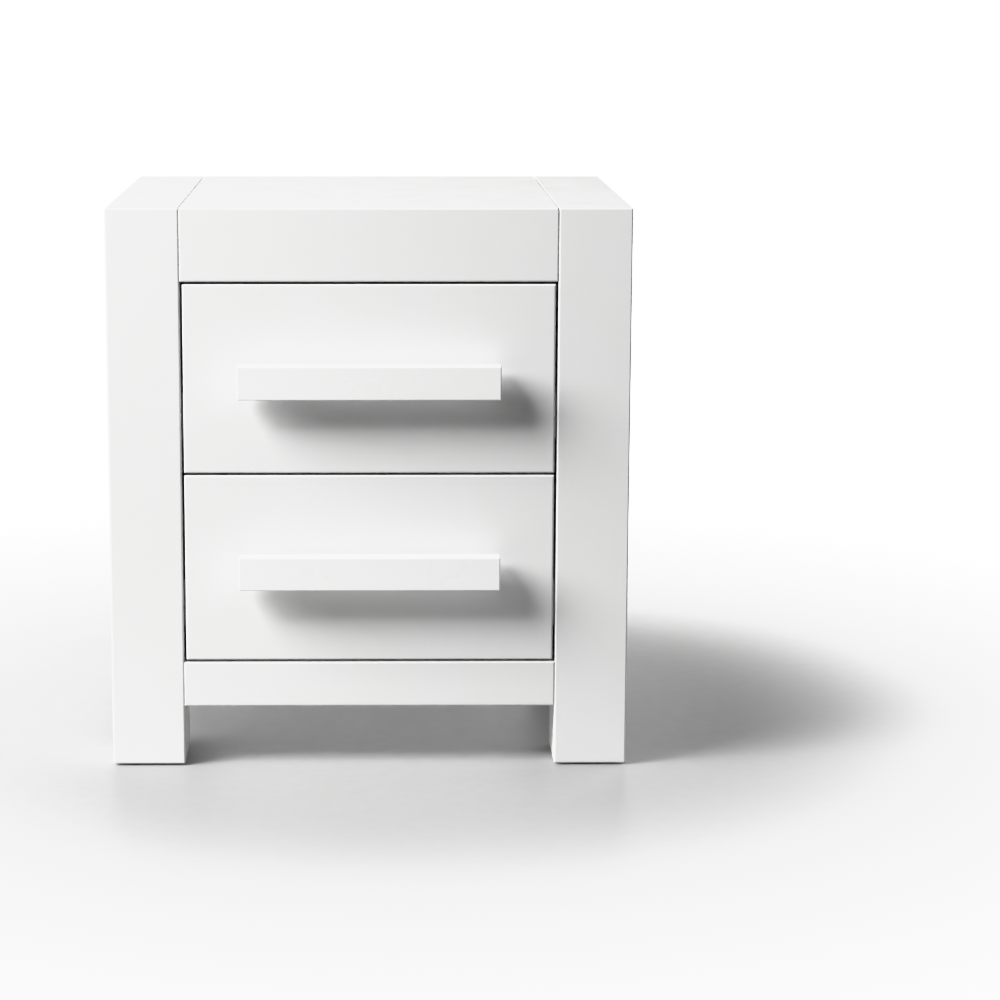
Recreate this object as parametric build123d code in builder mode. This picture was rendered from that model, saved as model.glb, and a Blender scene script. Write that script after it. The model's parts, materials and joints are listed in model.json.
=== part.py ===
from build123d import *
import os

os.makedirs("parts", exist_ok=True)

# Bedside cabinet with two inset drawers, built as a 70 mm thick lacquered frame
# (two mitred arches joined by a mitred top and by bottom rails), with drawer boxes on
# full-extension ball-bearing slides and bar handles that stand off the drawer fronts.
#
# Units: mm. +Z up, the drawers open towards -Y, +X to the viewer's right.
# Origin: centre of the whole object's bounding box in X and Y, at floor level.

# ---------------------------------------------------------------- driving dimensions
WIDTH = 500.0               # over the two arches
DEPTH = 400.0               # carcass, without the handles
HEIGHT = 545.0              # floor to top surface

POST = 70.0                 # square section of the posts and of the top rails
APRON_HEIGHT = 70.0         # front and rear aprons under the top
BOARD = 22.0                # thickness of top board, aprons and bottom rails
RAIL_HEIGHT = 44.0          # bottom rails
RAIL_CLEARANCE = 60.0       # floor to the underside of the bottom rails
EDGE = 1.6                  # softened edges of the lacquered pieces
BAR_EDGE = 1.0              # crisper edges of the bar handles
JOINT_GAP, JOINT_DEPTH = 1.3, 2.6   # shadow gap between the top board and the top rails
GLIDE_HEIGHT = 2.0          # nail-on glides under the posts

HANDLE_LENGTH = 250.0
HANDLE_HEIGHT = 32.0
HANDLE_THICKNESS = 18.0
HANDLE_GAP = 10.0           # finger gap between bar and drawer front
HANDLE_CENTRES = 192.0      # spacing of the two handle screws
SPACER_D = 12.0

FRONT_T = 19.0              # drawer front thickness
REVEAL = 2.5                # gap all round each drawer front

SIDE_PANEL_T = 12.0         # outer side panels
SIDE_PANEL_RECESS = 10.0    # set back from the outside of the frame
LINER_T = 16.0              # inner panels that carry the slides
GROOVE = 8.0                # depth of the panel grooves
BACK_T = 6.0
BOTTOM_T = 16.0

SLIDE_LENGTH = 350.0        # also the travel of a full-extension slide
SLIDE_T = 12.7              # standard side clearance
BOX_T = 12.0                # drawer box walls
BOX_HEIGHT = 130.0
BOX_BOTTOM_T = 6.0
BOX_BOTTOM_UP = 10.0        # bottom panel above the lower edge of the box
BOX_GROOVE = 5.0
BOX_LIFT = 12.0             # drawer box above the lower edge of its front
SLIDE_UP = 40.0             # slide centre above the lower edge of the box

DOWEL_D, DOWEL_L = 8.0, 30.0
CAM_D, CAM_H = 15.0, 15.0
CAM_TO_EDGE = 34.0          # cam centre to the joint
CAM_AXIS = BOARD / 2        # bolt axis below the panel face
BOLT_INTO_POST = 11.0

# ---------------------------------------------------------------- derived positions
HANDLE_PROJECTION = HANDLE_GAP + HANDLE_THICKNESS
FRONT_Y = -(DEPTH + HANDLE_PROJECTION) / 2 + HANDLE_PROJECTION
REAR_Y = FRONT_Y + DEPTH
HALF = WIDTH / 2
INNER = HALF - POST                       # half the clear width between the arches
TOP_Z = HEIGHT
UNDER_TOP = HEIGHT - APRON_HEIGHT         # underside of aprons and top rails
RAIL_TOP = RAIL_CLEARANCE + RAIL_HEIGHT
POST_IN_F = FRONT_Y + POST                # inner face of the front posts
POST_IN_R = REAR_Y - POST                 # inner face of the rear posts
BOARD_IN_F = FRONT_Y + BOARD              # inner face of front apron and rail
BOARD_IN_R = REAR_Y - BOARD

OPENING_H = UNDER_TOP - RAIL_TOP
FRONT_H = (OPENING_H - 3 * REVEAL) / 2
FRONT_W = 2 * INNER - 2 * REVEAL
LOWER_Z = RAIL_TOP + REVEAL
UPPER_Z = LOWER_Z + FRONT_H + REVEAL
FRONT_BACK_Y = FRONT_Y + FRONT_T          # back of a drawer front

BOX_X = INNER - SLIDE_T                   # outer half width of a drawer box
BOX_Y0 = FRONT_BACK_Y
BOX_Y1 = BOX_Y0 + SLIDE_LENGTH
SLIDE_Y0 = FRONT_BACK_Y + 2.0
SLIDE_Y1 = SLIDE_Y0 + SLIDE_LENGTH


# ---------------------------------------------------------------- helpers
def block(x, y, z, mode=Mode.ADD):
    """Square-edged block over the ranges x, y and z, in the open part."""
    with Locations(((x[0] + x[1]) / 2, (y[0] + y[1]) / 2, (z[0] + z[1]) / 2)):
        Box(x[1] - x[0], y[1] - y[0], z[1] - z[0], mode=mode)


def rod(start, direction, diameter, length, mode=Mode.ADD):
    """Round rod, or with Mode.SUBTRACT a drilled hole, from start along direction."""
    with Locations(Plane(origin=start, z_dir=direction)):
        Cylinder(
            diameter / 2, length, align=(Align.CENTER, Align.CENTER, Align.MIN), mode=mode
        )


def profile_yz(x0, x1, points, mode=Mode.ADD):
    """Polygon given as (y, z) points, extruded from x0 to x1."""
    with BuildSketch(Plane.YZ.offset(x0)) as outline:
        with BuildLine():
            Polyline(*points, close=True)
        make_face()
    extrude(outline.sketch, amount=x1 - x0, mode=mode)


def save(piece, name):
    """Label a finished piece and write it as its own STEP file."""
    piece.part.label = name
    export_step(piece.part, f"parts/{name}.step")


# ---------------------------------------------------------------- joinery hardware
# Fluted beech dowels, all one size, centred on the joint that they cross.
s = 0.7071067811865476
dowel_sites = []
for sx in (-1, 1):
    for dx in (-17.0, 17.0):              # mitres between posts and top rails
        x = sx * (HALF - POST / 2) + dx
        dowel_sites.append(((x, FRONT_Y + POST / 2, TOP_Z - POST / 2), (0, s, s)))
        dowel_sites.append(((x, REAR_Y - POST / 2, TOP_Z - POST / 2), (0, -s, s)))
    for y in (-80.0, 14.0, 108.0):        # top board to the top rails
        dowel_sites.append(((sx * INNER, y, TOP_Z - BOARD / 2), (1, 0, 0)))
    for y in (FRONT_Y + BOARD / 2, REAR_Y - BOARD / 2):
        dowel_sites.append(((sx * INNER, y, TOP_Z - 31.0), (1, 0, 0)))       # aprons
        dowel_sites.append(((sx * INNER, y, RAIL_CLEARANCE + 29.0), (1, 0, 0)))  # rails
    for y in (POST_IN_F, POST_IN_R):      # side rails into the posts
        for dx in (-20.0, 20.0):
            dowel_sites.append(
                ((sx * (HALF - POST / 2) + dx, y, RAIL_CLEARANCE + 24.0), (0, 1, 0))
            )
    for y in (-70.0, 98.0):               # bottom panel to the side rails
        dowel_sites.append(((sx * INNER, y, RAIL_TOP - BOTTOM_T / 2), (1, 0, 0)))
    # bottom panel to the front and rear rails; shallower in the rail than in the panel
    dowel_sites.append(((sx * 100.0, BOARD_IN_F + 6.0, RAIL_TOP - BOTTOM_T / 2), (0, 1, 0)))
    dowel_sites.append(((sx * 100.0, BOARD_IN_R - 8.0, RAIL_TOP - BOTTOM_T / 2), (0, 1, 0)))

with BuildPart() as dowel:
    Cylinder(DOWEL_D / 2, DOWEL_L)
    chamfer(dowel.edges().filter_by(GeomType.CIRCLE), 0.8)

with BuildPart() as dowels:
    with Locations(*[Plane(origin=centre, z_dir=along) for centre, along in dowel_sites]):
        add(dowel.part)

# Cam fittings: a cam bored into the hidden face of each apron and rail, and a bolt
# that screws into the post. Each site is (point on the panel face, face normal,
# direction towards the joint).
cam_sites = []
for sx in (-1, 1):
    cx = sx * (INNER - CAM_TO_EDGE)
    cam_sites.append(((cx, BOARD_IN_F, TOP_Z - 47.0), (0, 1, 0), (sx, 0, 0)))
    cam_sites.append(((cx, BOARD_IN_R, TOP_Z - 47.0), (0, -1, 0), (sx, 0, 0)))
    cam_sites.append(((cx, BOARD_IN_F, RAIL_CLEARANCE + 13.0), (0, 1, 0), (sx, 0, 0)))
    cam_sites.append(((cx, BOARD_IN_R, RAIL_CLEARANCE + 13.0), (0, -1, 0), (sx, 0, 0)))
    for y, sy in ((POST_IN_F + CAM_TO_EDGE, -1), (POST_IN_R - CAM_TO_EDGE, 1)):
        cam_sites.append(
            ((sx * (HALF - POST / 2), y, RAIL_CLEARANCE), (0, 0, -1), (0, sy, 0))
        )

with BuildPart() as cam_lock:             # drive face at z = 0, joint towards +x
    with BuildSketch():
        Circle(CAM_D / 2)
    extrude(amount=-CAM_H)
    chamfer(cam_lock.edges().filter_by(GeomType.CIRCLE), 0.4)
    block((-3.6, 8.0), (-3.6, 3.6), (-CAM_AXIS - 3.4, -CAM_AXIS + 3.8), mode=Mode.SUBTRACT)
    block((-3.2, 3.2), (-0.7, 0.7), (-2.6, 1.0), mode=Mode.SUBTRACT)
    block((-0.7, 0.7), (-3.2, 3.2), (-2.6, 1.0), mode=Mode.SUBTRACT)

with BuildPart() as cam_bolt:             # axis +x from the cam centre
    with BuildSketch(Plane.XY):
        with BuildLine():
            Polyline(
                (-1.6, 0), (-1.6, 2.4), (-0.9, 3.2), (1.4, 3.2), (1.4, 1.8), (5.0, 1.8),
                (6.2, 3.4), (CAM_TO_EDGE, 3.4), (CAM_TO_EDGE, 3.0),
                (CAM_TO_EDGE + BOLT_INTO_POST - 1.5, 3.0),
                (CAM_TO_EDGE + BOLT_INTO_POST, 1.6), (CAM_TO_EDGE + BOLT_INTO_POST, 0),
                close=True,
            )
        make_face()
    revolve(axis=Axis.X)

with BuildPart() as cam_locks:
    with Locations(
        *[Plane(origin=face, x_dir=toward, z_dir=normal) for face, normal, toward in cam_sites]
    ):
        add(cam_lock.part)

with BuildPart() as cam_bolts:
    with Locations(
        *[
            Plane(
                origin=Vector(face) - Vector(normal) * CAM_AXIS, x_dir=toward, z_dir=normal
            )
            for face, normal, toward in cam_sites
        ]
    ):
        add(cam_bolt.part)

# Bores for the cam fittings, cut from every piece of the frame.
with BuildPart() as cam_bores:
    for face, normal, toward in cam_sites:
        axis_point = Vector(face) - Vector(normal) * CAM_AXIS
        inward = Vector(normal) * -1
        joint = axis_point + Vector(toward) * CAM_TO_EDGE
        rod(face, tuple(inward), CAM_D, CAM_H)
        rod(tuple(axis_point), toward, 6.8, CAM_TO_EDGE)
        rod(tuple(joint), toward, 6.0, BOLT_INTO_POST)

save(dowels, "dowels")
save(cam_locks, "cam_locks")
save(cam_bolts, "cam_bolts")

# Nail-on glides under the four posts.
glide_points = [
    (sx * (HALF - POST / 2), y)
    for sx in (-1, 1)
    for y in (FRONT_Y + POST / 2, REAR_Y - POST / 2)
]
with BuildPart() as floor_glides:
    with Locations(*[(x, y, 0) for x, y in glide_points]):
        Cylinder(12.0, GLIDE_HEIGHT, align=(Align.CENTER, Align.CENTER, Align.MIN))
    chamfer(
        floor_glides.edges().filter_by(GeomType.CIRCLE).group_by(Axis.Z)[0], 0.6
    )
    with Locations(*[(x, y, GLIDE_HEIGHT) for x, y in glide_points]):
        Cylinder(1.25, 13.0, align=(Align.CENTER, Align.CENTER, Align.MIN))
    with Locations(*[(x, y, GLIDE_HEIGHT + 13.0) for x, y in glide_points]):
        Cone(1.25, 0.1, 3.0, align=(Align.CENTER, Align.CENTER, Align.MIN))
save(floor_glides, "floor_glides")


# ---------------------------------------------------------------- screws
def countersunk_screw(length):
    """3.5 mm countersunk chipboard screw, head face at z = 0, shank towards -z."""
    with BuildPart() as screw:
        with BuildSketch(Plane.XZ):
            with BuildLine():
                Polyline(
                    (0, 0), (3.2, 0), (1.75, -1.45), (1.75, -(length - 3.0)),
                    (0.2, -length), (0, -length), close=True,
                )
            make_face()
        revolve(axis=Axis.Z)
        block((-1.9, 1.9), (-0.35, 0.35), (-1.1, 1.0), mode=Mode.SUBTRACT)
        block((-0.35, 0.35), (-1.9, 1.9), (-1.1, 1.0), mode=Mode.SUBTRACT)
    return screw.part


def pan_screw(radius, head_radius, head_height, length, tip):
    """Pan-head screw, underside of the head at z = 0, shank towards -z."""
    with BuildPart() as screw:
        with BuildSketch(Plane.XZ):
            with BuildLine():
                Polyline(
                    (0, head_height), (head_radius - 1.0, head_height),
                    (head_radius, head_height - 0.9), (head_radius, 0), (radius, 0),
                    (radius, -(length - tip)), (radius - min(tip, radius - 0.2), -length),
                    (0, -length), close=True,
                )
            make_face()
        revolve(axis=Axis.Z)
        block((-2.0, 2.0), (-0.4, 0.4), (head_height - 1.4, head_height + 1), mode=Mode.SUBTRACT)
        block((-0.4, 0.4), (-2.0, 2.0), (head_height - 1.4, head_height + 1), mode=Mode.SUBTRACT)
    return screw.part


cabinet_screw = countersunk_screw(16.0)
front_screw = countersunk_screw(25.0)
slide_screw = pan_screw(1.75, 3.4, 2.1, 12.0, 2.5)
handle_screw = pan_screw(2.0, 4.0, 2.4, 50.0, 0.6)

TIERS = (("lower", LOWER_Z), ("upper", UPPER_Z))
CABINET_SCREW_Y = (POST_IN_F - 19.0, 14.0, POST_IN_R + 11.0)
DRAWER_SCREW_Y = (SLIDE_Y0 + 25.0, SLIDE_Y0 + 165.0, SLIDE_Y0 + 315.0)


def slide_z(front_z):
    """Height of the slide centre line for the drawer whose front starts at front_z."""
    return front_z + BOX_LIFT + SLIDE_UP


with BuildPart() as cabinet_slide_screws:
    with Locations(
        *[
            Plane(origin=(sx * (INNER - 1.2), y, slide_z(front_z)), z_dir=(-sx, 0, 0))
            for tier, front_z in TIERS
            for sx in (-1, 1)
            for y in CABINET_SCREW_Y
        ]
    ):
        add(cabinet_screw)
save(cabinet_slide_screws, "cabinet_slide_screws")

# ---------------------------------------------------------------- arches
# One arch is a front post, a top rail and a rear post, mitred at both top corners.
# It is shaped whole, so that the softened edges run on across the mitres, and is then
# divided into its three pieces.
with BuildPart() as left_arch:
    profile_yz(
        -HALF, -INNER,
        [
            (FRONT_Y, GLIDE_HEIGHT), (FRONT_Y, TOP_Z), (REAR_Y, TOP_Z),
            (REAR_Y, GLIDE_HEIGHT), (POST_IN_R, GLIDE_HEIGHT), (POST_IN_R, UNDER_TOP),
            (POST_IN_F, UNDER_TOP), (POST_IN_F, GLIDE_HEIGHT),
        ],
    )
    inside_corners = (
        left_arch.edges().filter_by(Axis.X).filter_by_position(Axis.Z, UNDER_TOP - 1, UNDER_TOP + 1)
    )
    fillet([e for e in left_arch.edges() if e not in inside_corners], radius=EDGE)
    # groove for the recessed outer side panel
    panel_x = (-HALF + SIDE_PANEL_RECESS, -HALF + SIDE_PANEL_RECESS + SIDE_PANEL_T)
    block(
        panel_x, (POST_IN_F - GROOVE, POST_IN_R + GROOVE),
        (RAIL_TOP - GROOVE, UNDER_TOP + GROOVE), mode=Mode.SUBTRACT,
    )
    # rebate for the inner liner panel, flush with the inside of the posts
    block(
        (-INNER - LINER_T, -INNER + 1), (POST_IN_F - GROOVE, POST_IN_R + GROOVE),
        (RAIL_TOP, UNDER_TOP + GROOVE), mode=Mode.SUBTRACT,
    )
    # groove for the back panel
    back_y = (REAR_Y - 8.0 - BACK_T, REAR_Y - 8.0)
    block(
        (-INNER - GROOVE, -INNER + 1), back_y,
        (RAIL_TOP - GROOVE, UNDER_TOP + GROOVE), mode=Mode.SUBTRACT,
    )
    add(dowels.part, mode=Mode.SUBTRACT)
    add(cam_bores.part, mode=Mode.SUBTRACT)
    add(floor_glides.part, mode=Mode.SUBTRACT)
    add(cabinet_slide_screws.part, mode=Mode.SUBTRACT)

over = 5.0                                # how far the cutting outlines run past
front_post_outline = [
    (FRONT_Y - over, TOP_Z + over), (POST_IN_F + over, UNDER_TOP - over),
    (POST_IN_F + over, -over), (FRONT_Y - over, -over),
]
rear_post_outline = [
    (REAR_Y + over, TOP_Z + over), (POST_IN_R - over, UNDER_TOP - over),
    (POST_IN_R - over, -over), (REAR_Y + over, -over),
]
top_rail_outline = [
    (FRONT_Y - over, TOP_Z + over), (REAR_Y + over, TOP_Z + over),
    (POST_IN_R - over, UNDER_TOP - over), (POST_IN_F + over, UNDER_TOP - over),
]

with BuildPart() as front_left_post:
    add(left_arch.part)
    profile_yz(-HALF - over, -INNER + over, front_post_outline, mode=Mode.INTERSECT)
save(front_left_post, "front_left_post")

with BuildPart() as rear_left_post:
    add(left_arch.part)
    profile_yz(-HALF - over, -INNER + over, rear_post_outline, mode=Mode.INTERSECT)
save(rear_left_post, "rear_left_post")

with BuildPart() as left_top_rail:
    add(left_arch.part)
    profile_yz(-HALF - over, -INNER + over, top_rail_outline, mode=Mode.INTERSECT)
save(left_top_rail, "left_top_rail")

with BuildPart() as front_right_post:
    mirror(front_left_post.part, about=Plane.YZ)
save(front_right_post, "front_right_post")

with BuildPart() as rear_right_post:
    mirror(rear_left_post.part, about=Plane.YZ)
save(rear_right_post, "rear_right_post")

with BuildPart() as right_top_rail:
    mirror(left_top_rail.part, about=Plane.YZ)
save(right_top_rail, "right_top_rail")

# Side rails between the posts, just above the feet.
with BuildPart() as left_bottom_rail:
    block((-HALF, -INNER), (POST_IN_F, POST_IN_R), (RAIL_CLEARANCE, RAIL_TOP))
    fillet(
        left_bottom_rail.faces().sort_by(Axis.X)[0].edges()
        + left_bottom_rail.edges().filter_by(Axis.Y).group_by(Axis.Z)[0].sort_by(Axis.X)[-1:],
        radius=EDGE,
    )
    block(
        panel_x, (POST_IN_F - 1, POST_IN_R + 1), (RAIL_TOP - GROOVE, RAIL_TOP + 1),
        mode=Mode.SUBTRACT,
    )
    add(dowels.part, mode=Mode.SUBTRACT)
    add(cam_bores.part, mode=Mode.SUBTRACT)
save(left_bottom_rail, "left_bottom_rail")

with BuildPart() as right_bottom_rail:
    mirror(left_bottom_rail.part, about=Plane.YZ)
save(right_bottom_rail, "right_bottom_rail")

# Recessed outer side panels and the liner panels that carry the slides.
with BuildPart() as left_side_panel:
    block(
        panel_x, (POST_IN_F - GROOVE, POST_IN_R + GROOVE),
        (RAIL_TOP - GROOVE, UNDER_TOP + GROOVE),
    )
save(left_side_panel, "left_side_panel")

with BuildPart() as right_side_panel:
    mirror(left_side_panel.part, about=Plane.YZ)
save(right_side_panel, "right_side_panel")

with BuildPart() as left_liner_panel:
    block(
        (-INNER - LINER_T, -INNER), (POST_IN_F - GROOVE, POST_IN_R + GROOVE),
        (RAIL_TOP, UNDER_TOP + GROOVE),
    )
    add(cabinet_slide_screws.part, mode=Mode.SUBTRACT)
save(left_liner_panel, "left_liner_panel")

with BuildPart() as right_liner_panel:
    mirror(left_liner_panel.part, about=Plane.YZ)
save(right_liner_panel, "right_liner_panel")

# ---------------------------------------------------------------- top
# The top board turns down into the front and rear aprons over mitred corners. It is
# shaped as one channel and then divided.
with BuildPart() as top_channel:
    profile_yz(
        -INNER, INNER,
        [
            (FRONT_Y, UNDER_TOP), (FRONT_Y, TOP_Z), (REAR_Y, TOP_Z), (REAR_Y, UNDER_TOP),
            (BOARD_IN_R, UNDER_TOP), (BOARD_IN_R, TOP_Z - BOARD),
            (BOARD_IN_F, TOP_Z - BOARD), (BOARD_IN_F, UNDER_TOP),
        ],
    )
    show_edges = (
        top_channel.faces().sort_by(Axis.Z)[-1].edges()
        + top_channel.faces().sort_by(Axis.Y)[0].edges()
        + top_channel.faces().sort_by(Axis.Y)[-1].edges()
    )
    fillet(show_edges, radius=EDGE)
    # narrow shadow gap along the joint with each top rail
    for sx in (-1, 1):
        block(
            sorted((sx * (INNER - JOINT_GAP), sx * (INNER + 1))),
            (FRONT_Y - 1, REAR_Y + 1), (TOP_Z - JOINT_DEPTH, TOP_Z + 1),
            mode=Mode.SUBTRACT,
        )
    block(
        (-INNER - 1, INNER + 1), back_y, (UNDER_TOP - 1, UNDER_TOP + GROOVE),
        mode=Mode.SUBTRACT,
    )
    add(dowels.part, mode=Mode.SUBTRACT)
    add(cam_bores.part, mode=Mode.SUBTRACT)

with BuildPart() as top_board:
    add(top_channel.part)
    profile_yz(
        -INNER - over, INNER + over,
        [
            (FRONT_Y - over, TOP_Z + over), (REAR_Y + over, TOP_Z + over),
            (BOARD_IN_R, TOP_Z - BOARD), (BOARD_IN_F, TOP_Z - BOARD),
        ],
        mode=Mode.INTERSECT,
    )
save(top_board, "top_board")

with BuildPart() as top_front_apron:
    add(top_channel.part)
    profile_yz(
        -INNER - over, INNER + over,
        [
            (FRONT_Y - over, TOP_Z + over), (BOARD_IN_F, TOP_Z - BOARD),
            (BOARD_IN_F, UNDER_TOP - over), (FRONT_Y - over, UNDER_TOP - over),
        ],
        mode=Mode.INTERSECT,
    )
save(top_front_apron, "top_front_apron")

with BuildPart() as top_rear_apron:
    add(top_channel.part)
    profile_yz(
        -INNER - over, INNER + over,
        [
            (REAR_Y + over, TOP_Z + over), (BOARD_IN_R, TOP_Z - BOARD),
            (BOARD_IN_R, UNDER_TOP - over), (REAR_Y + over, UNDER_TOP - over),
        ],
        mode=Mode.INTERSECT,
    )
save(top_rear_apron, "top_rear_apron")

# ---------------------------------------------------------------- bottom and back
with BuildPart() as front_bottom_rail:
    block((-INNER, INNER), (FRONT_Y, BOARD_IN_F), (RAIL_CLEARANCE, RAIL_TOP))
    fillet(front_bottom_rail.faces().sort_by(Axis.Y)[0].edges(), radius=EDGE)
    add(dowels.part, mode=Mode.SUBTRACT)
    add(cam_bores.part, mode=Mode.SUBTRACT)
save(front_bottom_rail, "front_bottom_rail")

with BuildPart() as rear_bottom_rail:
    block((-INNER, INNER), (BOARD_IN_R, REAR_Y), (RAIL_CLEARANCE, RAIL_TOP))
    fillet(rear_bottom_rail.faces().sort_by(Axis.Y)[-1].edges(), radius=EDGE)
    block(
        (-INNER - 1, INNER + 1), back_y, (RAIL_TOP - GROOVE, RAIL_TOP + 1),
        mode=Mode.SUBTRACT,
    )
    add(dowels.part, mode=Mode.SUBTRACT)
    add(cam_bores.part, mode=Mode.SUBTRACT)
save(rear_bottom_rail, "rear_bottom_rail")

with BuildPart() as bottom_panel:
    block((-INNER, INNER), (BOARD_IN_F, BOARD_IN_R), (RAIL_TOP - BOTTOM_T, RAIL_TOP))
    add(dowels.part, mode=Mode.SUBTRACT)
save(bottom_panel, "bottom_panel")

with BuildPart() as back_panel:
    block(
        (-INNER - GROOVE, INNER + GROOVE), back_y,
        (RAIL_TOP - GROOVE, UNDER_TOP + GROOVE),
    )
save(back_panel, "back_panel")


# ---------------------------------------------------------------- ball-bearing slides
# Section of the left-hand slide. u runs from the cabinet side towards the drawer and
# w is the height from the slide's centre line; each member is a channel of thin steel
# whose flanges end in a lip that keeps the balls in their race.
def slide_member(length_y, web, flange_w, flange_u, lip_w, lip_u, zc):
    """Channel section, mirrored about the centre line, over the range length_y."""
    with BuildPart() as member:
        with BuildSketch(Plane.XZ.offset(-length_y[1])) as section:
            with Locations((-INNER + (web[0] + web[1]) / 2, zc)):
                Rectangle(web[1] - web[0], 2 * flange_w[1])
            for up in (-1, 1):
                with Locations(
                    (
                        -INNER + (flange_u[0] + flange_u[1]) / 2,
                        zc + up * (flange_w[0] + flange_w[1]) / 2,
                    )
                ):
                    Rectangle(flange_u[1] - flange_u[0], flange_w[1] - flange_w[0])
                with Locations(
                    (-INNER + (lip_u[0] + lip_u[1]) / 2, zc + up * (lip_w[0] + lip_w[1]) / 2)
                ):
                    Rectangle(lip_u[1] - lip_u[0], lip_w[1] - lip_w[0])
            # bent from strip, so the two outside corners of the web are round
            bend_x = -INNER + (web[0] if web[0] < 6 else web[1])
            bends = section.vertices().filter_by_position(Axis.X, bend_x - 0.01, bend_x + 0.01)
            fillet(bends, radius=1.1)
        extrude(section.sketch, amount=length_y[1] - length_y[0])
    return member.part


BALL_PITCH, BALLS = 20.0, 8
CAGE_Y = (SLIDE_Y0 + 95.0, SLIDE_Y0 + 95.0 + BALL_PITCH * BALLS)
OUTER_BALL = (5.6, 19.5, 1.85)            # u, w and radius of the balls in the outer race
INNER_BALL = (7.2, 14.35, 1.8)


def ball_cage(web, flange_w, flange_u, ball, zc):
    """Steel strip cage with its two rows of balls, for the left-hand slide."""
    u, w, r = ball
    rows = [CAGE_Y[0] + BALL_PITCH * (i + 0.5) for i in range(BALLS)]
    with BuildPart() as cage:
        block(
            (-INNER + web[0], -INNER + web[1]), CAGE_Y, (zc - flange_w[1], zc + flange_w[1])
        )
        for up in (-1, 1):
            z_range = sorted((zc + up * flange_w[0], zc + up * flange_w[1]))
            block((-INNER + flange_u[0], -INNER + flange_u[1]), CAGE_Y, z_range)
        # windows that lighten the strip
        with Locations(*[(-INNER + web[0], y, zc) for y in rows[1::2]]):
            Box(4.0, 12.0, 12.0, mode=Mode.SUBTRACT)
        for up in (-1, 1):
            for y in rows:
                rod(
                    (-INNER + u, y, zc + up * (flange_w[0] - 1.0)), (0, 0, up),
                    2 * r + 0.4, flange_w[1] - flange_w[0] + 2.0, mode=Mode.SUBTRACT,
                )
        for up in (-1, 1):
            with Locations(*[(-INNER + u, y, zc + up * w) for y in rows]):
                Sphere(r)
    return cage.part


for tier, front_z in TIERS:
    zc = slide_z(front_z)
    outer = slide_member(
        (SLIDE_Y0, SLIDE_Y1), (0.0, 1.2), (21.6, 22.75), (0.0, 10.4), (20.6, 22.75),
        (9.4, 10.4), zc,
    )
    middle = slide_member(
        (SLIDE_Y0, SLIDE_Y1), (2.6, 3.6), (16.4, 17.4), (2.6, 9.8), (15.6, 18.2),
        (9.0, 9.8), zc,
    )
    inner = slide_member(
        (SLIDE_Y0, SLIDE_Y1), (SLIDE_T - 1.2, SLIDE_T), (11.1, 12.3), (5.2, SLIDE_T),
        (10.4, 12.3), (5.2, 6.0), zc,
    )

    with BuildPart() as left_outer:       # fixed to the liner panel and posts
        add(outer)
        with Locations(
            *[Plane(origin=(-INNER + 1.2, y, zc), z_dir=(1, 0, 0)) for y in CABINET_SCREW_Y]
        ):
            CounterSinkHole(1.75, 3.2, depth=3.0, counter_sink_angle=90)
        for y in (SLIDE_Y0 + 80.0, SLIDE_Y0 + 255.0):      # slotted spare fixings
            block((-INNER - 1, -INNER + 2), (y - 6, y + 6), (zc - 2.2, zc + 2.2), mode=Mode.SUBTRACT)
    save(left_outer, f"{tier}_left_slide_outer")
    with BuildPart() as right_outer:
        mirror(left_outer.part, about=Plane.YZ)
    save(right_outer, f"{tier}_right_slide_outer")

    with BuildPart() as slide_middles:
        add(middle)
        for y in (SLIDE_Y0 + 60.0, SLIDE_Y0 + 290.0):      # access holes in the web
            rod((-INNER + 1.0, y, zc), (1, 0, 0), 9.0, 4.0, mode=Mode.SUBTRACT)
        mirror(slide_middles.part, about=Plane.YZ)
    save(slide_middles, f"{tier}_slide_middles")

    with BuildPart() as outer_cages:
        add(ball_cage((1.6, 2.2), (19.2, 19.8), (1.6, 8.6), OUTER_BALL, zc))
        mirror(outer_cages.part, about=Plane.YZ)
    save(outer_cages, f"{tier}_outer_ball_cages")

    with BuildPart() as inner_cages:
        add(ball_cage((4.0, 4.6), (14.05, 14.65), (4.0, 9.6), INNER_BALL, zc))
        mirror(inner_cages.part, about=Plane.YZ)
    save(inner_cages, f"{tier}_inner_ball_cages")

    with BuildPart() as left_inner:       # screwed to the drawer side
        add(inner)
        for y in DRAWER_SCREW_Y:
            rod((-BOX_X - 3.0, y, zc), (1, 0, 0), 3.5, 6.0, mode=Mode.SUBTRACT)
        for y in (SLIDE_Y0 + 95.0, SLIDE_Y0 + 240.0):
            block((-BOX_X - 3, -BOX_X + 1), (y - 6, y + 6), (zc - 2.2, zc + 2.2), mode=Mode.SUBTRACT)
    save(left_inner, f"{tier}_left_slide_inner")
    with BuildPart() as right_inner:
        mirror(left_inner.part, about=Plane.YZ)
    save(right_inner, f"{tier}_right_slide_inner")

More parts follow.
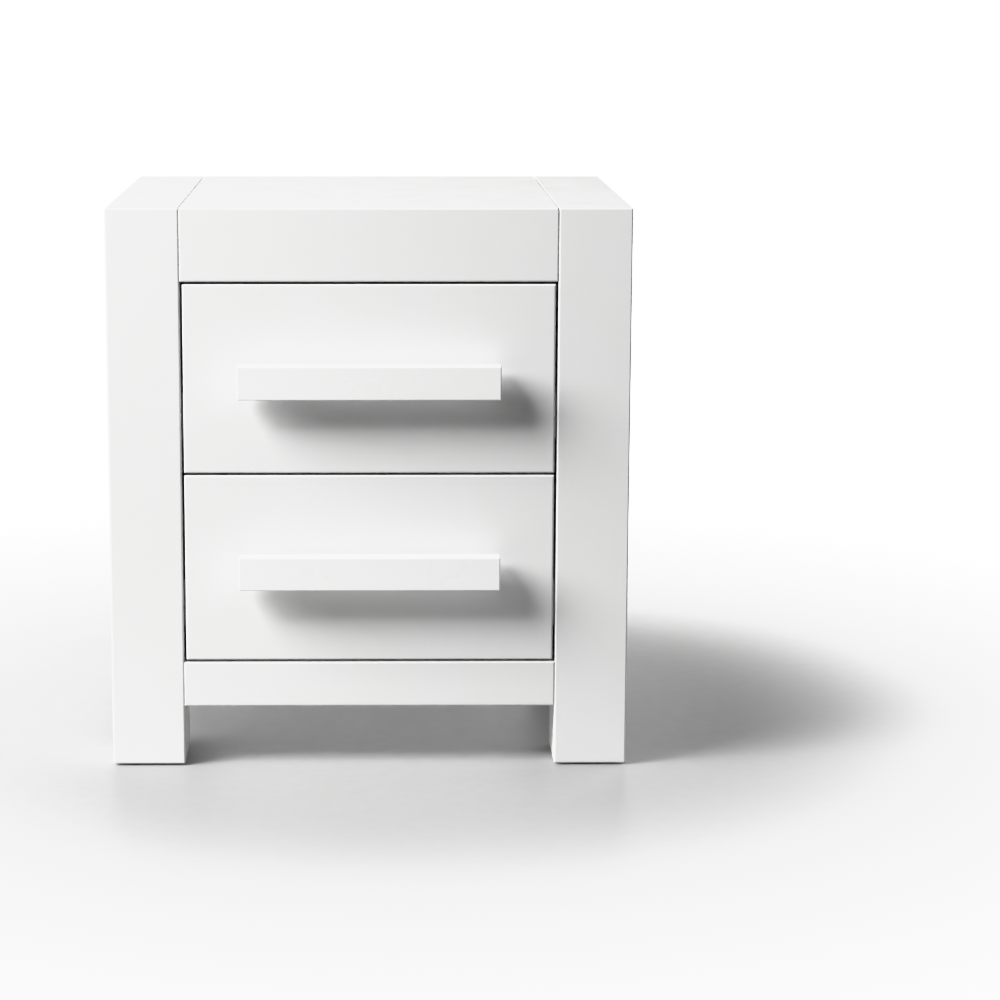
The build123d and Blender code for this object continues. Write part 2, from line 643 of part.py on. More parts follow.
# ---------------------------------------------------------------- drawers
for tier, front_z in TIERS:
    zc = slide_z(front_z)
    box_z = front_z + BOX_LIFT
    handle_z = front_z + FRONT_H / 2
    handle_x = (-HANDLE_CENTRES / 2, HANDLE_CENTRES / 2)
    inside_y = BOX_Y0 + BOX_T             # inner face of the box front
    front_screw_sites = [
        (x, inside_y, z) for x in (-130.0, 130.0) for z in (box_z + 28.0, box_z + 104.0)
    ]

    # Fasteners of this drawer.
    with BuildPart() as handle_screws:
        with Locations(
            *[Plane(origin=(x, inside_y, handle_z), z_dir=(0, 1, 0)) for x in handle_x]
        ):
            add(handle_screw)
    save(handle_screws, f"{tier}_handle_screws")

    with BuildPart() as front_fixing_screws:
        with Locations(*[Plane(origin=p, z_dir=(0, 1, 0)) for p in front_screw_sites]):
            add(front_screw)
    save(front_fixing_screws, f"{tier}_front_fixing_screws")

    with BuildPart() as drawer_slide_screws:
        with Locations(
            *[
                Plane(origin=(sx * (BOX_X + 1.2), y, zc), z_dir=(sx, 0, 0))
                for sx in (-1, 1)
                for y in DRAWER_SCREW_Y
            ]
        ):
            add(slide_screw)
    save(drawer_slide_screws, f"{tier}_drawer_slide_screws")

    # Inset front, flush with the posts.
    with BuildPart() as drawer_front:
        block((-FRONT_W / 2, FRONT_W / 2), (FRONT_Y, FRONT_BACK_Y), (front_z, front_z + FRONT_H))
        fillet(drawer_front.faces().sort_by(Axis.Y)[0].edges(), radius=EDGE)
        fillet(drawer_front.edges().filter_by(Axis.Y), radius=0.6)
        with Locations(
            *[Plane(origin=(x, FRONT_Y, handle_z), z_dir=(0, -1, 0)) for x in handle_x]
        ):
            Hole(2.2, depth=FRONT_T)
        add(front_fixing_screws.part, mode=Mode.SUBTRACT)
    save(drawer_front, f"{tier}_drawer_front")

    # Bar handle on two round spacers.
    bar_y = (FRONT_Y - HANDLE_PROJECTION, FRONT_Y - HANDLE_GAP)
    with BuildPart() as handle_bar:
        block(
            (-HANDLE_LENGTH / 2, HANDLE_LENGTH / 2), bar_y,
            (handle_z - HANDLE_HEIGHT / 2, handle_z + HANDLE_HEIGHT / 2),
        )
        fillet(handle_bar.edges(), radius=BAR_EDGE)
        with Locations(
            *[Plane(origin=(x, bar_y[1], handle_z), z_dir=(0, 1, 0)) for x in handle_x]
        ):
            Hole(2.0, depth=10.0)
    save(handle_bar, f"{tier}_handle_bar")

    with BuildPart() as handle_spacers:
        for x in handle_x:
            rod((x, FRONT_Y, handle_z), (0, -1, 0), SPACER_D, HANDLE_GAP)
        for x in handle_x:
            rod((x, FRONT_Y + 1, handle_z), (0, -1, 0), 4.4, HANDLE_GAP + 2, mode=Mode.SUBTRACT)
    save(handle_spacers, f"{tier}_handle_spacers")

    # Drawer box: front and back are held in rebates in the sides, and the bottom in a
    # groove all round.
    z_range = (box_z, box_z + BOX_HEIGHT)
    bottom_z = (box_z + BOX_BOTTOM_UP, box_z + BOX_BOTTOM_UP + BOX_BOTTOM_T)
    inner_x = BOX_X - BOX_T
    groove_x = inner_x + BOX_GROOVE
    groove_y = (BOX_Y0 + BOX_T - BOX_GROOVE, BOX_Y1 - BOX_T + BOX_GROOVE)

    with BuildPart() as drawer_left_side:
        block((-BOX_X, -inner_x), (BOX_Y0, BOX_Y1), z_range)
        fillet(
            drawer_left_side.edges().filter_by(Axis.Y).group_by(Axis.Z)[-1], radius=1.5
        )
        block((-groove_x, -inner_x + 1), (BOX_Y0 - 1, BOX_Y0 + BOX_T), (z_range[0] - 1, z_range[1] + 1), mode=Mode.SUBTRACT)
        block((-groove_x, -inner_x + 1), (BOX_Y1 - BOX_T, BOX_Y1 + 1), (z_range[0] - 1, z_range[1] + 1), mode=Mode.SUBTRACT)
        block((-groove_x, -inner_x + 1), (BOX_Y0, BOX_Y1), bottom_z, mode=Mode.SUBTRACT)
        add(drawer_slide_screws.part, mode=Mode.SUBTRACT)
    save(drawer_left_side, f"{tier}_drawer_left_side")

    with BuildPart() as drawer_right_side:
        mirror(drawer_left_side.part, about=Plane.YZ)
    save(drawer_right_side, f"{tier}_drawer_right_side")

    with BuildPart() as drawer_box_front:
        block((-groove_x, groove_x), (BOX_Y0, BOX_Y0 + BOX_T), z_range)
        fillet(
            drawer_box_front.edges().filter_by(Axis.X).group_by(Axis.Z)[-1].sort_by(Axis.Y)[-1:],
            radius=1.5,
        )
        block((-groove_x - 1, groove_x + 1), (groove_y[0], BOX_Y0 + BOX_T + 1), bottom_z, mode=Mode.SUBTRACT)
        with Locations(
            *[Plane(origin=(x, inside_y, handle_z), z_dir=(0, 1, 0)) for x in handle_x]
        ):
            Hole(2.2, depth=BOX_T)
        with Locations(*[Plane(origin=p, z_dir=(0, 1, 0)) for p in front_screw_sites]):
            CounterSinkHole(1.75, 3.2, depth=BOX_T + 1.0, counter_sink_angle=90)
    save(drawer_box_front, f"{tier}_drawer_box_front")

    with BuildPart() as drawer_back:
        block((-groove_x, groove_x), (BOX_Y1 - BOX_T, BOX_Y1), z_range)
        fillet(drawer_back.edges().filter_by(Axis.X).group_by(Axis.Z)[-1], radius=1.5)
        block((-groove_x - 1, groove_x + 1), (BOX_Y1 - BOX_T - 1, groove_y[1]), bottom_z, mode=Mode.SUBTRACT)
    save(drawer_back, f"{tier}_drawer_back")

    with BuildPart() as drawer_bottom:
        block((-groove_x, groove_x), groove_y, bottom_z)
    save(drawer_bottom, f"{tier}_drawer_bottom")
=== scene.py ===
import json
import math

import bmesh
import bpy
from mathutils import Matrix, Vector

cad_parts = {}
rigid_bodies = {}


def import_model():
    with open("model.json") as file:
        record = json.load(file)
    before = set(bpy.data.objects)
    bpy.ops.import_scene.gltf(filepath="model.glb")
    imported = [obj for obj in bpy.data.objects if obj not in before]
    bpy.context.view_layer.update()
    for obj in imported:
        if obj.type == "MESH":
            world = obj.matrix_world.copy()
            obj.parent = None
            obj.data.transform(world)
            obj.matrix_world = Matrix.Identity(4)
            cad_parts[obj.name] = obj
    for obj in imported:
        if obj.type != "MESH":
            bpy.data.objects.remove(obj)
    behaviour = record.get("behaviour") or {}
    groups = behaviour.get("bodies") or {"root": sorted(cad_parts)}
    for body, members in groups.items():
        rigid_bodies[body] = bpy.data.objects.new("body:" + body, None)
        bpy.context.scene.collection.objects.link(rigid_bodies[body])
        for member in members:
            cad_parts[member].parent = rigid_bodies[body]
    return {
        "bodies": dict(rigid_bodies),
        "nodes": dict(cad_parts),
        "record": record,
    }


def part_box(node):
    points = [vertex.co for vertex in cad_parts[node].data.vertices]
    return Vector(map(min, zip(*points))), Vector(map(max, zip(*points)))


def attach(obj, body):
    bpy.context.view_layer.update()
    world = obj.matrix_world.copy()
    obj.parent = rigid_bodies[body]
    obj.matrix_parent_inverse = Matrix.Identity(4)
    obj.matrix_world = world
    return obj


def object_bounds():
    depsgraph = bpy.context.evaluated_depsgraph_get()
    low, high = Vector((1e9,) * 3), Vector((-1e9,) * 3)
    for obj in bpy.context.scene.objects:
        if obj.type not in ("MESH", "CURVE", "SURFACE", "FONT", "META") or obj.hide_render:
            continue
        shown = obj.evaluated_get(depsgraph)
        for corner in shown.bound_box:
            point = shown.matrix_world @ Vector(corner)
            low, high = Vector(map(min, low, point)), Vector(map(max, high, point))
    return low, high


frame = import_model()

CAD_LOW, CAD_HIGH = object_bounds()
NODES = frame["nodes"]
BODIES = frame["bodies"]
scene = bpy.context.scene
scene.view_settings.view_transform = "Standard"
scene.view_settings.look = "None"
scene.view_settings.exposure = 0.0
scene.view_settings.gamma = 1.0
# a soft shoulder above the white of the object, so that no lit side burns out
scene.view_settings.use_curve_mapping = True
tones = scene.view_settings.curve_mapping
tones.white_level = (3.0, 3.0, 3.0)
tones.extend = "HORIZONTAL"
curve = tones.curves[3]
curve.points[0].location = (0.0, 0.0)
curve.points[-1].location = (1.0, 1.0)
for x, y in ((0.14, 0.42), (0.28, 0.84), (0.30, 0.872), (0.323, 0.89), (0.37, 0.905), (0.5, 0.93), (0.7, 0.955), (0.867, 0.975)):
    curve.points.new(x, y)
tones.update()


# ------------------------------------------------------------------ node helpers
class Net:
    """A material's node tree, with short calls for the nodes used here."""

    def __init__(self, tree):
        self.tree = tree
        self.nodes = tree.nodes
        self.links = tree.links

    def node(self, kind, **props):
        n = self.nodes.new(kind)
        for k, v in props.items():
            setattr(n, k, v)
        return n

    def put(self, socket, value):
        if isinstance(value, bpy.types.NodeSocket):
            self.links.new(value, socket)
        else:
            socket.default_value = value

    def math(self, op, a, b=None, c=None, clamp=False):
        n = self.node("ShaderNodeMath", operation=op, use_clamp=clamp)
        self.put(n.inputs[0], a)
        if b is not None:
            self.put(n.inputs[1], b)
        if c is not None:
            self.put(n.inputs[2], c)
        return n.outputs[0]

    def vmath(self, op, a, b=None):
        n = self.node("ShaderNodeVectorMath", operation=op)
        self.put(n.inputs[0], a)
        if b is not None:
            self.put(n.inputs[1], b)
        return n.outputs[0]

    def split(self, v):
        n = self.node("ShaderNodeSeparateXYZ")
        self.put(n.inputs[0], v)
        return n.outputs[0], n.outputs[1], n.outputs[2]

    def join(self, x, y, z):
        n = self.node("ShaderNodeCombineXYZ")
        for s, v in zip(n.inputs, (x, y, z)):
            self.put(s, v)
        return n.outputs[0]

    def noise(self, vector, scale, detail=2.0, rough=0.5, distortion=0.0):
        n = self.node("ShaderNodeTexNoise", noise_dimensions="3D")
        self.put(n.inputs["Vector"], vector)
        n.inputs["Scale"].default_value = scale
        n.inputs["Detail"].default_value = detail
        n.inputs["Roughness"].default_value = rough
        n.inputs["Distortion"].default_value = distortion
        return n.outputs[0]

    def ramp(self, value, low, high, to_low=0.0, to_high=1.0, smooth=True):
        n = self.node("ShaderNodeMapRange", clamp=True)
        n.interpolation_type = "SMOOTHSTEP" if smooth else "LINEAR"
        self.put(n.inputs["Value"], value)
        self.put(n.inputs["From Min"], low)
        self.put(n.inputs["From Max"], high)
        self.put(n.inputs["To Min"], to_low)
        self.put(n.inputs["To Max"], to_high)
        return n.outputs[0]

    def mix(self, factor, a, b, blend="MIX"):
        n = self.node("ShaderNodeMix", data_type="RGBA", blend_type=blend)
        n.clamp_factor = True
        self.put(n.inputs[0], factor)
        self.put(n.inputs[6], a if not isinstance(a, tuple) else (*a, 1.0)[:4])
        self.put(n.inputs[7], b if not isinstance(b, tuple) else (*b, 1.0)[:4])
        return n.outputs[2]

    def bump(self, height, strength, distance, normal=None):
        n = self.node("ShaderNodeBump")
        self.put(n.inputs["Height"], height)
        n.inputs["Strength"].default_value = strength
        n.inputs["Distance"].default_value = distance
        if normal is not None:
            self.put(n.inputs["Normal"], normal)
        return n.outputs[0]


def material(name):
    m = bpy.data.materials.new(name)
    m.use_nodes = True
    m.node_tree.nodes.clear()
    net = Net(m.node_tree)
    shader = net.node("ShaderNodeBsdfPrincipled")
    out = net.node("ShaderNodeOutputMaterial")
    net.links.new(shader.outputs[0], out.inputs[0])
    return m, net, shader


def rest_point(net, seed=0.0):
    """Position in the row frame at rest, in metres, shifted by a piece's own seed."""
    coord = net.node("ShaderNodeTexCoord")
    place = net.node("ShaderNodeMapping")
    net.links.new(coord.outputs["Object"], place.inputs["Vector"])
    place.inputs["Location"].default_value = (seed * 1.37, seed * 2.11, seed * 0.73)
    return place.outputs[0], coord


def edge_distance(net, coord, size):
    """Distance from a point on a box-shaped piece to its nearest edge, in metres."""
    gx, gy, gz = net.split(coord.outputs["Generated"])
    d = []
    for g, length in zip((gx, gy, gz), size):
        d.append(net.math("MULTIPLY", net.math("MINIMUM", g, net.math("SUBTRACT", 1.0, g)), length))
    a, b, c = d
    low, high = net.math("MINIMUM", a, b), net.math("MAXIMUM", a, b)
    return net.math("MAXIMUM", low, net.math("MINIMUM", high, c))


def node_size(name):
    lo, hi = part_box(name)
    return tuple(max(h - l, 0.001) for l, h in zip(lo, hi))


def dress(name, mat):
    """Puts one material on every slot of a CAD node."""
    o = NODES[name]
    o.data.materials.clear()
    o.data.materials.append(mat)


# ------------------------------------------------------------------ materials
def lacquer(name, size, seed, tone=(0.82, 0.82, 0.817), rough=0.36, peel=1.0):
    """Sprayed satin lacquer: faint orange peel, soft cloudiness, edges rubbed smoother, and a painted highlight
    lightening every edge.
    """
    m, net, shader = material(name)
    p, coord = rest_point(net, seed)
    cloud = net.noise(p, 5.0, 3.0, 0.55)
    fleck = net.noise(p, 780.0, 3.0, 0.6)
    edge = edge_distance(net, coord, size)
    ragged = net.math("ADD", edge, net.math("MULTIPLY", net.noise(p, 260.0, 2.0), 0.0012))
    # edge band mask: rubbed, smoother lacquer in the roughness, and a painted highlight in the colour
    edge_highlight_and_wear = net.ramp(ragged, 0.0008, 0.0030, 1.0, 0.0)
    warm = tuple(c * k for c, k in zip(tone, (0.995, 0.992, 0.985)))
    cool = tuple(min(1.0, c * k) for c, k in zip(tone, (1.002, 1.004, 1.007)))
    body = net.mix(net.ramp(cloud, 0.3, 0.7), warm, cool)
    body = net.mix(net.ramp(fleck, 0.62, 0.78, 0.0, 0.10), body, tuple(c * 0.95 for c in tone))
    # painted highlight: every edge is lightened by up to 5 %, standing in for the light caught by the rounded arris
    body = net.mix(net.math("MULTIPLY", edge_highlight_and_wear, 0.35), body, tuple(min(1.0, c * 1.05) for c in tone))
    net.put(shader.inputs["Base Color"], body)
    haze = net.noise(p, 26.0, 4.0, 0.6)
    r = net.ramp(haze, 0.3, 0.72, rough - 0.05, rough + 0.07)
    r = net.math("SUBTRACT", r, net.math("MULTIPLY", edge_highlight_and_wear, 0.08))
    net.put(shader.inputs["Roughness"], r)
    orange = net.noise(p, 420.0, 2.0, 0.4)
    fine = net.noise(p, 1900.0, 1.0, 0.5)
    height = net.math("ADD", orange, net.math("MULTIPLY", fine, 0.25))
    net.put(shader.inputs["Normal"], net.bump(height, 0.05 * peel, 0.0006))
    shader.inputs["IOR"].default_value = 1.5
    shader.inputs["Coat Weight"].default_value = 0.12
    shader.inputs["Coat Roughness"].default_value = 0.22
    return m


def birch(name, thick, grain, seed):
    """Birch plywood: figured faces with fine fibres, and layered edges."""
    m, net, shader = material(name)
    p, coord = rest_point(net, seed)
    axes = {"X": 0, "Y": 1, "Z": 2}
    stretch = [1.0, 1.0, 1.0]
    stretch[axes[grain]] = 0.06
    grained = net.vmath("MULTIPLY", p, tuple(stretch))
    bend = net.noise(p, 7.0, 2.0)
    figure = net.noise(
        net.vmath("ADD", grained, net.vmath("MULTIPLY", net.join(bend, bend, bend), (0.012, 0.012, 0.012))),
        38.0, 4.0, 0.55,
    )
    fibre = net.noise(grained, 620.0, 3.0, 0.65)
    pores = net.noise(grained, 1500.0, 2.0, 0.5)
    light, dark = (0.800, 0.665, 0.480), (0.640, 0.475, 0.305)
    face = net.mix(net.ramp(figure, 0.34, 0.68), light, dark)
    face = net.mix(net.ramp(fibre, 0.45, 0.75, 0.0, 0.38), face, (0.540, 0.385, 0.235))
    face = net.mix(net.ramp(pores, 0.66, 0.74, 0.0, 0.45), face, (0.380, 0.255, 0.150))
    face = net.mix(net.ramp(net.noise(p, 3.2, 2.0), 0.35, 0.7, 0.0, 0.28), face, (0.850, 0.730, 0.560))
    # edges: veneers 1.4 mm thick, every second one in end grain
    t = net.split(p)[axes[thick]]
    wander = net.math("MULTIPLY", net.noise(p, 30.0, 1.0), 0.0005)
    band = net.math("PINGPONG", net.math("ADD", t, wander), 0.0014)
    layer = net.ramp(band, 0.0005, 0.0009)
    end_grain = net.mix(net.ramp(net.noise(p, 900.0, 3.0, 0.7), 0.35, 0.7), (0.47, 0.33, 0.20), (0.62, 0.46, 0.29))
    long_grain = net.mix(net.ramp(fibre, 0.4, 0.7), (0.78, 0.63, 0.44), (0.67, 0.51, 0.33))
    plies = net.mix(layer, end_grain, long_grain)
    glue = net.ramp(band, 0.00055, 0.0007, 0.0, 1.0)
    glue = net.math("MULTIPLY", glue, net.ramp(band, 0.0007, 0.00085, 1.0, 0.0))
    plies = net.mix(net.math("MULTIPLY", glue, 0.6), plies, (0.30, 0.20, 0.12))
    normal = net.split(coord.outputs["Normal"])[axes[thick]]
    on_face = net.ramp(net.math("ABSOLUTE", normal), 0.55, 0.75)
    colour = net.mix(on_face, plies, face)
    net.put(shader.inputs["Base Color"], colour)
    net.put(shader.inputs["Roughness"], net.ramp(fibre, 0.3, 0.75, 0.42, 0.60))
    height = net.math("SUBTRACT", net.math("MULTIPLY", fibre, 0.6), net.ramp(pores, 0.66, 0.74, 0.0, 0.5))
    net.put(shader.inputs["Normal"], net.bump(height, 0.16, 0.0004))
    shader.inputs["Coat Weight"].default_value = 0.08
    shader.inputs["Coat Roughness"].default_value = 0.35
    return m


def steel(name, tone, low, high, seed, along="Y", blue=0.0, metallic=1.0):
    """Plated steel: drawn lines along the strip, spangle, and slight passivation tint."""
    m, net, shader = material(name)
    p, coord = rest_point(net, seed)
    stretch = [1.0, 1.0, 1.0]
    stretch[{"X": 0, "Y": 1, "Z": 2}[along]] = 0.03
    drawn = net.noise(net.vmath("MULTIPLY", p, tuple(stretch)), 900.0, 3.0, 0.6)
    spangle = net.noise(p, 90.0, 3.0, 0.6)
    tint = net.noise(p, 22.0, 2.0, 0.5)
    c = net.mix(net.ramp(spangle, 0.35, 0.68), tuple(x * 0.90 for x in tone), tuple(min(1.0, x * 1.05) for x in tone))
    c = net.mix(net.ramp(tint, 0.45, 0.7, 0.0, 0.35 + blue), c, (tone[0] * 0.90, tone[1] * 0.97, min(1.0, tone[2] * 1.08)))
    c = net.mix(net.ramp(tint, 0.25, 0.42, 0.22, 0.0), c, (tone[0] * 1.0, tone[1] * 0.95, tone[2] * 0.82))
    net.put(shader.inputs["Base Color"], c)
    net.put(shader.inputs["Roughness"], net.ramp(drawn, 0.3, 0.7, low, high))
    shader.inputs["Metallic"].default_value = metallic
    net.put(shader.inputs["Normal"], net.bump(drawn, 0.08, 0.0002))
    return m


def cast_zinc(name):
    m, net, shader = material(name)
    p, coord = rest_point(net, 3.0)
    grain = net.noise(p, 1200.0, 3.0, 0.6)
    c = net.mix(net.ramp(net.noise(p, 160.0, 3.0), 0.3, 0.7), (0.40, 0.40, 0.41), (0.56, 0.56, 0.57))
    net.put(shader.inputs["Base Color"], c)
    net.put(shader.inputs["Roughness"], net.ramp(grain, 0.3, 0.7, 0.38, 0.55))
    shader.inputs["Metallic"].default_value = 1.0
    net.put(shader.inputs["Normal"], net.bump(grain, 0.25, 0.0003))
    return m


def plastic(name, tone):
    m, net, shader = material(name)
    p, coord = rest_point(net, 5.0)
    spark = net.noise(p, 2200.0, 2.0, 0.5)
    c = net.mix(net.ramp(net.noise(p, 120.0, 3.0), 0.3, 0.7), tuple(x * 0.85 for x in tone), tuple(x * 1.15 for x in tone))
    net.put(shader.inputs["Base Color"], c)
    net.put(shader.inputs["Roughness"], net.ramp(spark, 0.3, 0.7, 0.45, 0.62))
    net.put(shader.inputs["Normal"], net.bump(spark, 0.2, 0.0002))
    return m


def beech(name):
    m, net, shader = material(name)
    p, coord = rest_point(net, 9.0)
    flecks = net.noise(net.vmath("MULTIPLY", p, (0.25, 1.0, 1.0)), 900.0, 3.0, 0.6)
    c = net.mix(net.ramp(flecks, 0.35, 0.7), (0.72, 0.54, 0.37), (0.56, 0.39, 0.24))
    net.put(shader.inputs["Base Color"], c)
    net.put(shader.inputs["Roughness"], net.ramp(flecks, 0.3, 0.7, 0.6, 0.8))
    net.put(shader.inputs["Normal"], net.bump(flecks, 0.25, 0.0003))
    return m


slot_of = {s["node"]: s["material_slot"] for s in frame["record"]["subparts"]}
STEEL = {
    "slide_steel": steel("zinc_strip", (0.66, 0.68, 0.70), 0.24, 0.40, 1.0, "Y", 0.1),
    "bearing_steel": steel("bearing_steel", (0.74, 0.74, 0.73), 0.14, 0.28, 2.0, "Y", 0.0),
    "screw_steel": steel("plated_screw", (0.70, 0.69, 0.66), 0.26, 0.42, 4.0, "X", 0.0),
    "cam_zinc": cast_zinc("cast_zinc"),
    "glide_plastic": plastic("glide_plastic", (0.10, 0.10, 0.10)),
    "dowel_beech": beech("dowel_beech"),
}
THICK = {"left_side": "X", "right_side": "X", "box_front": "Y", "drawer_back": "Y", "drawer_bottom": "Z"}
for i, (name, slot_name) in enumerate(sorted(slot_of.items())):
    if slot_name in STEEL:
        dress(name, STEEL[slot_name])
    elif slot_name == "birch_plywood":
        thick = next(t for k, t in THICK.items() if name.endswith(k))
        grain = "X" if thick == "Y" else "Y"
        dress(name, birch("birch_" + name, thick, grain, 0.31 * i))
    elif slot_name == "white_hardboard":
        dress(name, lacquer("coated_" + name, node_size(name), 0.17 * i, (0.83, 0.83, 0.82), 0.48, 2.0))
    # handle bars: a lighter copy of the same lacquer, a painted highlight for the brighter light the bars catch
    elif name.endswith("handle_bar"):
        dress(name, lacquer("lacquer_" + name, node_size(name), 0.17 * i, (0.92, 0.92, 0.918), 0.30))
    else:
        dress(name, lacquer("lacquer_" + name, node_size(name), 0.17 * i))


# ------------------------------------------------------------------ slide release levers
def outline_solid(name, outline, low, high, round_over, holes=()):
    """Prism over x = low..high from a (y, z) outline, with softened edges."""
    bm = bmesh.new()
    ring = [bm.verts.new((low, y, z)) for y, z in outline]
    face = bm.faces.new(ring)
    side = bmesh.ops.extrude_face_region(bm, geom=[face])
    moved = [g for g in side["geom"] if isinstance(g, bmesh.types.BMVert)]
    bmesh.ops.translate(bm, verts=moved, vec=(high - low, 0, 0))
    bmesh.ops.recalc_face_normals(bm, faces=bm.faces)
    mesh = bpy.data.meshes.new(name)
    bm.to_mesh(mesh)
    bm.free()
    o = bpy.data.objects.new(name, mesh)
    scene.collection.objects.link(o)
    edge = o.modifiers.new("softened", "BEVEL")
    edge.width, edge.segments, edge.limit_method, edge.angle_limit = round_over, 3, "ANGLE", math.radians(50)
    edge.harden_normals = True
    for f in mesh.polygons:
        f.use_smooth = True
    return o


def arc(cy, cz, r, start, stop, n):
    return [
        (cy + r * math.cos(math.radians(start + (stop - start) * i / n)),
         cz + r * math.sin(math.radians(start + (stop - start) * i / n)))
        for i in range(n + 1)
    ]


def release_lever(tier, side):
    """Moulded lever on a rivet in the channel of the drawer's slide member."""
    lo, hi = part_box(f"{tier}_{side}_slide_inner")
    zc = (lo.z + hi.z) / 2
    sx = -1 if side == "left" else 1
    web = hi.x if side == "left" else lo.x              # face of the web against the drawer
    inside = web + sx * 0.0012                          # face of the web inside the channel
    y0 = lo.y + 0.113                                   # rivet, clear of the screw heads and slots
    up = 1 if side == "left" else -1
    top = [(0.0060, 0.0040), (0.0130, 0.0062), (0.0240, 0.0074), (0.0340, 0.0066)]
    tip = arc(0.0405, 0.0010, 0.0021, 80, -80, 6)
    low = [(0.0330, -0.0002), (0.0240, 0.0012), (0.0140, 0.0002)]
    boss = arc(0.0, 0.0, 0.0068, -30, -330, 20)
    shape = [(y0 + y, zc + up * z) for y, z in boss + top + tip + low]
    if up < 0:
        shape.reverse()
    xs = sorted((inside + sx * 0.0004, inside + sx * 0.0034))
    lever = outline_solid(f"{tier}_{side}_release_lever", shape, xs[0], xs[1], 0.0005)
    lever.data.materials.append(LEVER)
    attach(lever, f"{tier}_drawer")
    rivet = [(0.0026, 0.0001), (0.0026, 0.0035), (0.0034, 0.0035), (0.0033, 0.0041), (0.0028, 0.0045), (0.0018, 0.0048)]
    bm = bmesh.new()
    turns = 28
    rings = []
    for r, h in rivet:
        rings.append([
            bm.verts.new((inside + sx * h, y0 + r * math.cos(2 * math.pi * k / turns), zc + r * math.sin(2 * math.pi * k / turns)))
            for k in range(turns)
        ])
    for a, b in zip(rings, rings[1:]):
        for k in range(turns):
            bm.faces.new((a[k], a[(k + 1) % turns], b[(k + 1) % turns], b[k]))
    bm.faces.new(rings[0])
    bm.faces.new(rings[-1])
    bmesh.ops.recalc_face_normals(bm, faces=bm.faces)
    mesh = bpy.data.meshes.new(f"{tier}_{side}_lever_rivet")
    bm.to_mesh(mesh)
    bm.free()
    for f in mesh.polygons:
        f.use_smooth = len(f.vertices) == 4
    pin = bpy.data.objects.new(mesh.name, mesh)
    scene.collection.objects.link(pin)
    mesh.materials.append(STEEL["screw_steel"])
    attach(pin, f"{tier}_drawer")


LEVER = plastic("lever_plastic", (0.035, 0.036, 0.038))
for tier in ("lower", "upper"):
    for side in ("left", "right"):
        release_lever(tier, side)


# ------------------------------------------------------------------ floor and light
FLOOR_NEAR, FLOOR_FAR = 0.34, 1.15          # radii between which the floor melts into white


def floor():
    """Round patch of pale floor that fades into the white surround."""
    mesh = bpy.data.meshes.new("floor")
    bm = bmesh.new()
    bmesh.ops.create_circle(bm, cap_ends=True, segments=96, radius=FLOOR_FAR + 0.3)
    bm.to_mesh(mesh)
    bm.free()
    o = bpy.data.objects.new("floor", mesh)
    scene.collection.objects.link(o)
    m, net, shader = material("pale_floor")
    p, coord = rest_point(net)
    net.put(shader.inputs["Base Color"], net.mix(net.noise(p, 3.0, 3.0), (0.315, 0.315, 0.315), (0.325, 0.325, 0.325)))
    net.put(shader.inputs["Roughness"], net.ramp(net.noise(p, 60.0, 3.0), 0.3, 0.7, 0.47, 0.53))
    shader.inputs["IOR"].default_value = 1.9
    reach = net.vmath("MULTIPLY", coord.outputs["Object"], (1.0, 1.0, 0.0))
    length = net.node("ShaderNodeVectorMath", operation="LENGTH")
    net.put(length.inputs[0], reach)
    fade = net.ramp(length.outputs["Value"], FLOOR_NEAR, FLOOR_FAR, 0.0, 1.0)
    clear = net.node("ShaderNodeBsdfTransparent")
    blend = net.node("ShaderNodeMixShader")
    net.put(blend.inputs[0], fade)
    net.links.new(shader.outputs[0], blend.inputs[1])
    net.links.new(clear.outputs[0], blend.inputs[2])
    out = next(n for n in net.nodes if n.type == "OUTPUT_MATERIAL")
    net.links.new(blend.outputs[0], out.inputs[0])
    mesh.materials.append(m)
    return o


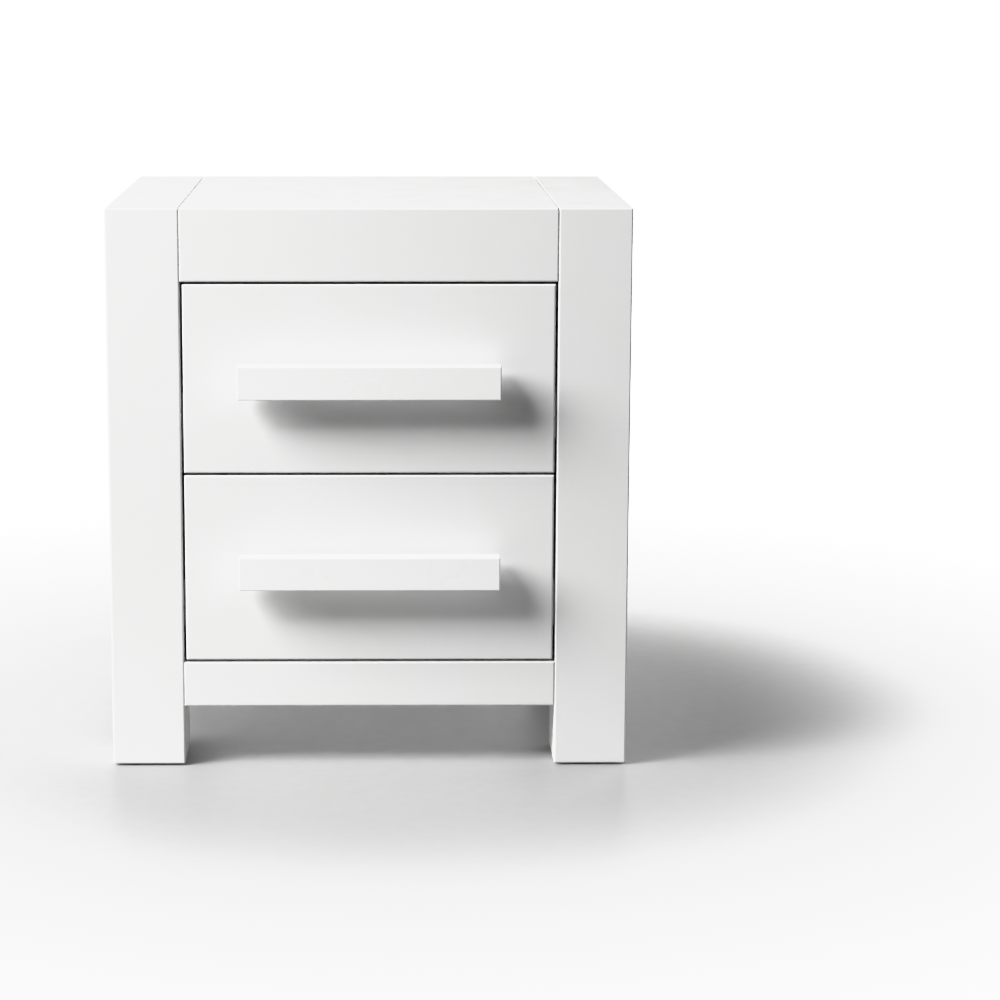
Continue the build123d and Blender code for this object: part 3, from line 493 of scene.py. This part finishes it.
floor()
world = bpy.data.worlds.new("studio")
scene.world = world
world.use_nodes = True
sky = Net(world.node_tree)
surround = world.node_tree.nodes["Background"]
surround.inputs[0].default_value = (1, 1, 1, 1)
rays = sky.node("ShaderNodeLightPath")
WHITE, SHEEN, FILL = 3.0, 0.35, 0.028        # as seen directly, in gloss, and as soft fill
level = sky.math("MULTIPLY_ADD", rays.outputs["Is Camera Ray"], WHITE - SHEEN, SHEEN)
level = sky.math("MULTIPLY_ADD", rays.outputs["Is Diffuse Ray"], FILL - SHEEN, level)
sky.put(surround.inputs[1], level)


def toward(azimuth, elevation):
    """Unit vector from the object: azimuth 0 is the front, 90 the right-hand side."""
    a, e = math.radians(azimuth), math.radians(elevation)
    return Vector((math.sin(a) * math.cos(e), -math.cos(a) * math.cos(e), math.sin(e)))


def softbox(name, azimuth, elevation, distance, size, power, tilt=None):
    """Rectangular area light aimed at the object; its long side lies along tilt."""
    light = bpy.data.lights.new(name, "AREA")
    light.shape = "RECTANGLE"
    light.size, light.size_y = size
    light.energy = power
    o = bpy.data.objects.new(name, light)
    back = toward(azimuth, elevation)
    across = (tilt or Vector((0, 0, 1)).cross(back)).normalized()
    across = (across - back * across.dot(back)).normalized()
    up = back.cross(across)
    o.location = AIM + back * distance
    o.rotation_mode = "QUATERNION"
    o.rotation_quaternion = Matrix((across, up, back)).transposed().to_quaternion()
    scene.collection.objects.link(o)
    return o


AIM = Vector((0.0, CAD_LOW[1] + 0.014, 0.5 * CAD_HIGH[2]))
softbox("key", -69, 35, 3.0, (2.2, 1.15), 260.0, toward(-50, 51) - toward(-80, 22))
softbox("fill_right", 125, 14, 3.5, (2.2, 2.2), 75.0)
softbox("fill_back", 188, 1, 3.5, (2.6, 0.4), 40.0)

# ------------------------------------------------------------------ camera
camera = bpy.data.cameras.new("camera")
eye = bpy.data.objects.new("camera", camera)
scene.collection.objects.link(eye)
FRONT_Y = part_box("top_front_apron")[0].y
camera.sensor_width = 36.0
camera.lens = 95.43
camera.shift_x, camera.shift_y = 0.11, -0.08
camera.clip_start, camera.clip_end = 0.1, 50.0
eye.location = (0.0024, FRONT_Y - 2.4995, 0.7631)
eye.rotation_euler = (math.pi / 2 - 0.1668, 0.0, -0.0070)
scene.camera = eye
